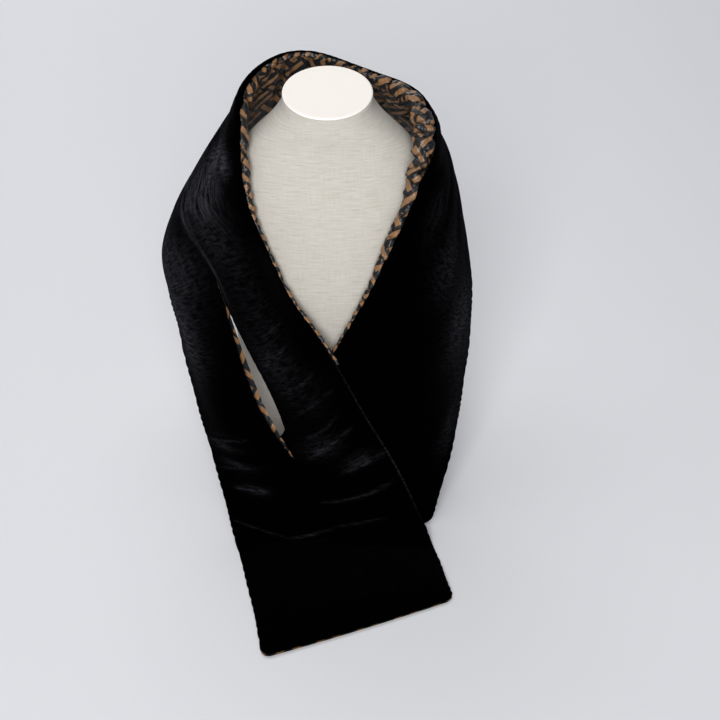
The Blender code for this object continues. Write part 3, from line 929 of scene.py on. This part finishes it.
    def grid(self, outer_lip: float, laps_over: Callable) -> tuple:
        """The whole band as a grid, opened at the slot.

        Args:
            outer_lip: How far the slot's outer lip stands back at its widest, in metres.
            laps_over: Gives how far the face goes on past the neck edge at lengths along it.

        Returns:
            Places as (along, across) rows, faces, and each point's place on the flat cloth.
        """
        marks = [self.start, self.slot_start, self.slot_end, self.end]
        rows = [self.start]
        for low, high in zip(marks, marks[1:]):
            count = round((high - low) / self.row_step)
            rows += [low + (high - low) * (i + 1) / count for i in range(count)]
        middle = self.columns // 2
        share = np.arange(self.columns + 1) / self.columns
        even = 0.5 * share + 0.5 * (1 - np.cos(math.pi * share)) / 2
        wrap = -np.arange(self.wrap_columns, 0, -1) / self.wrap_columns
        laps = laps_over(np.array(rows)) / self.width
        places, index = [], {}
        for i, along in enumerate(rows):
            in_slot = self.slot_start < along < self.slot_end
            share = (along - self.slot_start) / (self.slot_end - self.slot_start)
            gape = math.sin(math.pi * share**self.slot_skew) if in_slot else 0.0
            for j, across in enumerate([*(wrap * laps[i]), *even], -self.wrap_columns):
                for lip in (Lip.INNER, Lip.OUTER) if j == middle and in_slot else (Lip.INNER,):
                    index[i, j, lip] = len(places)
                    is_inner = j < middle or (j == middle and lip is Lip.INNER)
                    stand = -self.inner_lip if is_inner else outer_lip
                    shift = gape * stand / self.width * max(0.0, 1 - abs(2 * across - 1))
                    places.append((self.rounded_end(along, max(across, 0.0)), across + shift))
                index.setdefault((i, j, Lip.OUTER), index[i, j, Lip.INNER])
        faces = []
        for i in range(len(rows) - 1):
            for j in range(-self.wrap_columns, self.columns):
                lip = Lip.INNER if j < middle else Lip.OUTER
                faces.append(
                    (index[i, j, lip], index[i, j + 1, lip],
                     index[i + 1, j + 1, lip], index[i + 1, j, lip])
                )
        places = np.array(places)
        cloth = np.column_stack([places[:, 1] * self.width, places[:, 0]])
        return places, faces, cloth

    def rounded_end(self, along: float, across: float) -> float:
        """A length along the band, drawn back at the corners of its two ends.

        Args:
            along: A length along the band.
            across: A share of its width.

        Returns:
            The length drawn back.
        """
        to_side = min(across, 1 - across) * self.width
        into_corner = max(0.0, 1 - to_side / self.corner)
        draw_back = self.corner * (1 - math.sqrt(1 - into_corner**2))
        near_start = max(0.0, 1 - (along - self.start) / self.corner)
        near_end = max(0.0, 1 - (self.end - along) / self.corner)
        return along + draw_back * near_start - draw_back * near_end

    def rolled(self, along: np.ndarray) -> np.ndarray:
        """The roll's radius, run out to 0 where the neck edge isn't rolled."""
        radius, _ = self.roll_and_tuck(along)
        return radius * smooth_step((self.roll_reach - np.abs(along)) / self.roll_run_out)

    def roll_seam(self, along: np.ndarray) -> np.ndarray:
        """How far round the roll from its tip the velvet stops, in radians."""
        table = np.array(ROLL_SEAM)
        uneven = ripple(along, 2 * self.pucker_pitch, 3.3)
        return np.interp(along, *table.T) + self.seam_sway * uneven

    def over_the_roll(self, along: np.ndarray) -> tuple:
        """How the velvet goes over the roll.

        Args:
            along: Places along the band.

        Returns:
            How high it stands off the band's middle at the neck edge, how far past that edge it
            lies flat, up to the roll's top or its seam, and how much goes past the edge in all.
        """
        seam = self.roll_seam(along)
        highest = np.maximum(seam, math.pi / 2)
        radius = self.rolled(along)
        lift = radius * self.over_roll * np.sin(highest) + self.seam
        run = radius * (1 + np.cos(highest))
        return lift, run, run + np.maximum(math.pi / 2 - seam, 0.0) * lift + self.edge_lap

    def velvet_lap(self, along: np.ndarray) -> np.ndarray:
        """How much velvet goes on past the neck edge, over the roll to its seam."""
        return self.over_the_roll(along)[2]

    def lining_lap(self, along: np.ndarray) -> np.ndarray:
        """How much lining goes on past the neck edge, up to the roll or to the seam below it."""
        below = smooth_step((along - self.roll_reach) / self.roll_run_out + 1)
        return self.rolled(along) + self.edge_lap - self.edge_short * below

    def off_middle(
        self, along: np.ndarray, across: np.ndarray, height: np.ndarray, relief: np.ndarray,
        at_edge: np.ndarray, flat_run: np.ndarray,
    ) -> np.ndarray:
        """Points of one face, at its height off the band's middle, carried on over the roll.

        Args:
            along: Places along the band.
            across: Shares of its width, which go on below 0 past the neck edge.
            height: The padded face's height off the middle.
            relief: What its folds and puckers add to that.
            at_edge: The height at the neck edge, below 0 on the lining's side.
            flat_run: How far past the neck edge the face runs before it turns round the roll.

        Returns:
            One point for each place.
        """
        past = np.maximum(-across, 0.0) * self.width
        across = np.maximum(across, 0.0)
        middle, normal = self.middle(along, across)
        _, away, side, _ = self.roll_line(along)
        near = np.exp(-((across * self.width / self.roll_blend) ** 2))
        blend = near[:, None]
        sign = np.sign(at_edge)
        rounded = (height**4 + (at_edge * near) ** 4) ** 0.25 + relief
        height = sign * np.maximum(rounded, self.least_height)
        turned = np.maximum(past - flat_run, 0.0) / np.abs(at_edge)
        ahead = np.minimum(past, flat_run) + np.abs(height) * np.sin(turned)
        direction = unit(normal * (1 - blend) + side * blend)
        return middle + direction * (height * np.cos(turned))[:, None] + away * ahead[:, None]

    def velvet(self, along: np.ndarray, across: np.ndarray) -> np.ndarray:
        """Points of the velvet face.

        Args:
            along: Places along the band.
            across: Shares of its width.

        Returns:
            One point for each place.
        """
        filled = self.pillow(along, across)
        out = self.seam / 2 + (self.velvet_fill - self.seam) * filled
        relief = self.puckers(along, across, filled)
        relief -= self.fold_depth(VELVET_FOLDS, along, across) * filled
        uneven = lumps(across * self.width, along, self.lump_size, 3)
        relief += self.lump_height * uneven * filled
        lift, run, _ = self.over_the_roll(along)
        return self.off_middle(along, across, out, relief, lift, run)

    def lining(self, along: np.ndarray, across: np.ndarray) -> np.ndarray:
        """Points of the lining face, which peeks past the velvet at the hem and near it.

        Args:
            along: Places along the band.
            across: Shares of its width.

        Returns:
            One point for each place.
        """
        at_hem = np.clip(1 - (self.end - along) / self.peek_reach, 0.0, 1.0)
        along = along + self.lining_peek * at_hem
        filled = self.pillow(along, across)
        into = self.seam / 2 + (self.lining_fill - self.seam) * filled
        padded = np.maximum(filled, smooth_step(self.rolled(along) / self.full_roll))
        relief = self.puckers(along, across, filled)
        relief -= self.fold_depth(LINING_FOLDS, along, across) * padded
        crumpled = crumples(across * self.width, along, self.crumple_size)
        relief += self.crumple_depth * crumpled * padded
        at_edge = -self.lining_rise * self.rolled(along) - self.seam / 2
        far = np.ones_like(along)
        points = self.off_middle(along, across, into, relief, at_edge, far)
        points[:, 2] = np.maximum(points[:, 2], self.table_gap)
        return points

    def roll_line(self, along: np.ndarray) -> tuple:
        """The middle of the rolled neck edge, two unit vectors square to it, and its radius.

        Args:
            along: Places along the band.

        Returns:
            The middle's points, the way past the neck edge, the way out of the velvet face, and the
            radius, for each place.
        """
        edge = np.zeros(len(along))
        middle, _ = self.middle(along, edge)
        away = middle - self.middle(along, edge + self.edge_width)[0]
        run = unit(
            self.middle(along + TINY_STEP, edge)[0] - self.middle(along - TINY_STEP, edge)[0]
        )
        away = unit(away - run * np.sum(away * run, axis=1)[:, None])
        radius, _ = self.roll_and_tuck(along)
        return middle + away * radius[:, None], away, np.cross(run, away), radius


@dataclass
class Scarf:
    """The scarf: velvet face, printed lining, and the lining's roll round the neck edge."""

    band: Band
    velvet: bpy.types.Material
    lining: bpy.types.Material
    roll_step: float = 0.0007
    roll_sides: int = 36
    depth_spread: tuple = (0.45, 1.25)  # of the gathers, as shares of their kind's
    width_spread: tuple = (0.7, 1.4)
    spacing_spread: tuple = (0.55, 1.45)
    most_lean: float = 1.2
    mean_pinch: float = 0.62  # a gather's depth round the roll, which is 1 on its own side
    gather_take: float = 0.35  # cloth that a gather takes up, as a share of their spacing
    gather_depth: float = 0.68  # share of the roll's radius
    # the next three set where shade is painted into the lining's gathers and tucks
    open_pinch: float = 0.25  # share of the deepest gather up to which light reaches its bottom
    pinch_ease: float = 0.65  # further share over which that light runs out
    deep_tuck: float = 0.009  # depth at which none reaches a tuck's bottom
    tuck_take: float = 0.5  # cloth that a tuck of the lining takes up, as a share of its depth
    lump_size: float = 0.012  # of the roll's crumples
    lump_round: float = 0.01  # radius of the circle on which they are read round the roll
    lump_height: float = 0.20  # share of the roll's radius
    bare_ease: float = 0.4  # radians from the velvet's seam over which they rise
    lining_lip: float = 0.0117  # the lining stands back less than the velvet at the outer lip
    cut_width: float = 0.235  # of each face, before it is sewn
    cut_length: float = 1.45

    def build(self) -> None:
        """Makes all of the scarf's pieces."""
        velvet, lining, roll = (
            [f"{kind}_{stretch}" for stretch in stretches]
            for kind, stretches in (
                ("velvet", BAND_STRETCHES), ("lining", BAND_STRETCHES),
                ("gathered_edge", ROLL_STRETCHES),
            )
        )
        places, faces, cloth = self.band.grid(self.band.outer_lip, self.band.velvet_lap)
        face = add_piece(
            "velvet_face", self.band.velvet(*places.T), faces, cloth, self.velvet,
            velvet, self.band.crush_and_sheen(*places.T),
        )
        places, faces, cloth = self.band.grid(self.lining_lip, self.band.lining_lap)
        tucks = self.band.fold_depth(LINING_FOLDS, *places.T)
        cloth[:, 1] += self.tuck_take * tucks
        back = add_piece(
            "lining_face", self.band.lining(*places.T), [f[::-1] for f in faces], cloth,
            self.lining, lining,
            # painted shade in the bottoms of the lining's tucks
            {"fold_shade": smooth_step(tucks / self.deep_tuck)},
        )
        self.build_roll(roll)

    def build_roll(self, stands_for: list) -> None:
        """The lining, rolled over the neck edge and drawn in by its gathers.

        Args:
            stands_for: The CAD model's nodes that it replaces.
        """
        reach = self.band.roll_reach
        count = round(2 * reach / self.roll_step) + 1
        line = np.linspace(-reach, reach, count)
        sides = np.linspace(-math.pi, math.pi, self.roll_sides, endpoint=False)
        along = np.repeat(line, self.roll_sides)
        turn = np.tile(sides, count)
        centre, away, side, radius = self.band.roll_line(along)
        pinch, taken = self.pinches(along, turn, radius)
        x, y = self.lump_round * np.cos(turn), self.lump_round * np.sin(turn)
        lumpy = crumples(along + x, y + 0.5, self.lump_size)
        bare = smooth_step((self.band.roll_seam(along) - turn) / self.bare_ease)
        size = radius * (1 + self.lump_height * lumpy * bare - self.gather_depth * pinch)
        points = (
            centre
            + away * (size * np.cos(turn))[:, None]
            + side * (size * np.sin(turn))[:, None]
        )
        cloth = np.column_stack([turn * radius, along + taken])
        made = add_piece(
            "gathered_edge", points, tube_faces(count, self.roll_sides), cloth, self.lining,
            stands_for,
            # painted shade in the bottoms of the roll's gathers
            {"fold_shade": smooth_step((pinch - self.open_pinch) / self.pinch_ease)},
        )

    def pinches(self, along: np.ndarray, turn: np.ndarray, radius: np.ndarray) -> tuple:
        """How deeply the gathers pinch the roll, and the cloth that they take up.

        Args:
            along: Places along the band.
            turn: Angles round the roll.
            radius: The roll's radius at each place.

        Returns:
            The pinch at each place, from 0 on a lobe to 1, and the cloth taken up so far.
        """
        random = np.random.default_rng(11)
        pinch, taken = np.zeros_like(along), np.zeros_like(along)
        for spacing, deepest, half_width in GATHERS:
            place = -self.band.roll_reach
            while place < self.band.roll_reach:
                depth = deepest * random.uniform(*self.depth_spread)
                lean = random.uniform(-self.most_lean, self.most_lean)
                width = half_width * random.uniform(*self.width_spread)
                side = random.uniform(-math.pi, math.pi)
                off = along - place - lean * radius * np.sin(turn + side)
                fade = self.mean_pinch + (1 - self.mean_pinch) * np.cos(turn - side)
                pinch += depth * fade * np.exp(-np.abs(off / width) ** 1.4)
                taken += self.gather_take * spacing * depth * smooth_step(off / width / 2 + 0.5)
                place += spacing * random.uniform(*self.spacing_spread)
        return np.minimum(pinch, 1.0), taken


@dataclass
class DisplayBust:
    """The limbless linen form and the covered disc on its neck."""

    linen: bpy.types.Material
    cotton: bpy.types.Material
    rings: tuple = (  # each one's height, half width, and depth in front and behind
        (0.000, 0.086, 0.058, 0.054),
        (0.060, 0.094, 0.064, 0.057),
        (0.124, 0.103, 0.070, 0.061),
        (0.175, 0.110, 0.075, 0.064),
        (0.240, 0.116, 0.079, 0.067),
        (0.300, 0.119, 0.076, 0.067),
        (0.340, 0.118, 0.069, 0.064),
        (0.365, 0.114, 0.061, 0.060),
        (0.386, 0.107, 0.053, 0.056),
        (0.403, 0.098, 0.048, 0.052),
        (0.418, 0.085, 0.046, 0.050),
        (0.431, 0.071, 0.047, 0.049),
        (0.442, 0.060, 0.0458, 0.049),
        (0.452, 0.0525, 0.0447, 0.0495),
        (0.463, 0.0495, 0.0437, 0.048),
    )
    roundness: float = 2.25
    sides: int = 144
    levels: int = 110
    cap_radius: float = 0.0505
    cap_thickness: float = 0.003
    cap_tilt: float = math.radians(12)
    cap_top: float = 0.4663
    cap_sides: int = 128
    rim_steps: int = 8
    turned_in: float = 0.005  # how far the cap's cloth goes in again under its rim
    cloth_lean: float = 0.3  # of the linen's weave, so that it runs round the form's sides too
    tilt_from: float = 0.435  # the height at which the neck's rings start to tilt
    tilt_over: float = 0.028

    def build(self) -> None:
        """Makes the linen form and its cap."""
        self.build_form()
        self.build_cap()

    def build_form(self) -> None:
        """The linen form: a smooth loft through its rings, closed below and at the neck."""
        table = np.array(self.rings)
        heights = np.linspace(0.0, table[-1, 0], self.levels)
        sizes = natural_spline(table[:, 0], table[:, 1:], heights)
        angles = np.linspace(0, 2 * math.pi, self.sides, endpoint=False)
        cosine, sine = (
            np.sign(wave) * np.abs(wave) ** (2 / self.roundness)
            for wave in (np.cos(angles), np.sin(angles))
        )
        points, cloth = [], []
        for height, (half, front, back) in zip(heights, sizes):
            tilt = self.cap_tilt * smooth_step((height - self.tilt_from) / self.tilt_over)
            y = np.where(sine > 0, back, front) * sine
            x = half * cosine
            points.append(np.column_stack([x, y, height + y * math.tan(tilt)]))
            cloth.append(np.column_stack([x + self.cloth_lean * y, np.full(self.sides, height)]))
        points, cloth = np.vstack(points), np.vstack(cloth)
        faces = tube_faces(self.levels, self.sides)
        add_piece(
            "linen_form", points, faces, cloth, self.linen, ("bust_body",)
        )

    def build_cap(self) -> None:
        """The covered disc: its cloth turns over a soft rim and in again under it."""
        edge = self.cap_thickness / 2
        profile = [(share * (self.cap_radius - edge), edge) for share in (0.35, 0.7, 0.9, 0.97)]
        for k in range(self.rim_steps + 1):
            angle = math.pi / 2 - math.pi * k / self.rim_steps
            profile.append(
                (self.cap_radius - edge + edge * math.cos(angle), edge * math.sin(angle))
            )
        profile.append((self.cap_radius - self.turned_in, -edge))
        n = self.cap_sides
        angles = np.linspace(0, 2 * math.pi, n, endpoint=False)
        points = [(0.0, 0.0, edge)]
        for radius, height in profile:
            points += [(radius * math.cos(a), radius * math.sin(a), height) for a in angles]
        points.append((0.0, 0.0, -edge))
        points = np.array(points)
        cloth = points[:, :2].copy()
        tilt, lift = math.cos(self.cap_tilt), math.sin(self.cap_tilt)
        x, y, z = points.T
        turned = np.column_stack([x, y * tilt - z * lift, y * lift + z * tilt])
        turned[:, 2] += self.cap_top - edge
        faces = [(0, 1 + j, 1 + (j + 1) % n) for j in range(n)]
        for i in range(len(profile) - 1):
            for j in range(n):
                a, b = 1 + i * n + j, 1 + i * n + (j + 1) % n
                faces.append((a, a + n, b + n, b))
        last = 1 + (len(profile) - 1) * n
        faces += [(last + (j + 1) % n, last + j, len(points) - 1) for j in range(n)]
        add_piece("neck_cap", turned, faces, cloth, self.cotton, ("bust_cap",))


@dataclass
class Studio:
    """The floor and backdrop in one sweep, the soft lights and the camera."""

    paper: bpy.types.Material
    air: str = "#e8eaf0"
    air_strength: float = 0.09
    floor_reach: float = 11.0
    turn_at: float = 3.0  # behind every place that the object is looked at from
    turn_radius: float = 0.8
    turn_steps: int = 16
    backdrop_height: float = 3.0
    target: tuple = (0.036, 0.0, 0.12)
    elevation: float = math.radians(31)
    distance: float = 2.5
    lens: float = 105.0  # millimetres, as its sensor's width
    sensor: float = 36.0

    def build(self) -> None:
        """Sets the stage, the lights and the camera."""
        self.build_sweep()
        for light in SOFT_LIGHTS:
            self.add_light(light)
        world = bpy.data.worlds.new("studio_air")
        world.use_nodes = True
        air = world.node_tree.nodes["Background"]
        set_up(world.node_tree, air, Color=self.air, Strength=self.air_strength)
        bpy.context.scene.world = world
        bpy.context.scene.view_settings.view_transform = "Standard"
        self.add_camera()

    def build_sweep(self) -> None:
        """A floor that turns up into a backdrop behind the bust."""
        turns = [math.pi / 2 * k / self.turn_steps for k in range(1, self.turn_steps + 1)]
        profile = [(-self.floor_reach, 0.0), (self.turn_at, 0.0)]
        profile += [
            (self.turn_at + self.turn_radius * math.sin(turn),
             self.turn_radius * (1 - math.cos(turn)))
            for turn in turns
        ]
        profile.append((self.turn_at + self.turn_radius, self.backdrop_height))
        points = [(x, y, z) for y, z in profile for x in (-self.floor_reach, self.floor_reach)]
        faces = [(2 * i, 2 * i + 1, 2 * i + 3, 2 * i + 2) for i in range(len(profile) - 1)]
        sweep = add_mesh("studio_sweep", points, faces, self.paper)

    def add_light(self, light: SoftLight) -> None:
        """Sets up one light."""
        data = bpy.data.lights.new(light.name, "AREA")
        data.size = light.size
        data.energy = light.power
        add_object(light.name, data, light.place, self.look(np.subtract(light.aim, light.place)))

    def look(self, toward: np.ndarray) -> tuple:
        """The rotation that turns an object's -Z towards a direction, its top upwards."""
        flat = math.hypot(toward[0], toward[1])
        return (math.atan2(flat, -toward[2]), 0.0, math.atan2(-toward[0], toward[1]))

    def add_camera(self) -> None:
        """The camera, above the table and in front, as the photograph was taken."""
        data = bpy.data.cameras.new("camera")
        data.lens = self.lens
        data.sensor_width = self.sensor
        x, y, z = self.target
        back = self.distance * math.cos(self.elevation)
        up = self.distance * math.sin(self.elevation)
        turn = (math.pi / 2 - self.elevation, 0.0, 0.0)
        bpy.context.scene.camera = add_object("camera", data, (x, y - back, z + up), turn)


def main() -> None:
    """Builds the bust, the scarf over it, and the studio round them."""
    logging.basicConfig(level=logging.INFO, format="%(name)s: %(message)s")
    DisplayBust(NaturalLinen().build(), CreamCotton().build()).build()
    Scarf(Band(), CrushedVelvet().build(), PrintedSatin().build()).build()
    Studio(StudioPaper().build()).build()


if __name__ == "__main__":
    main()
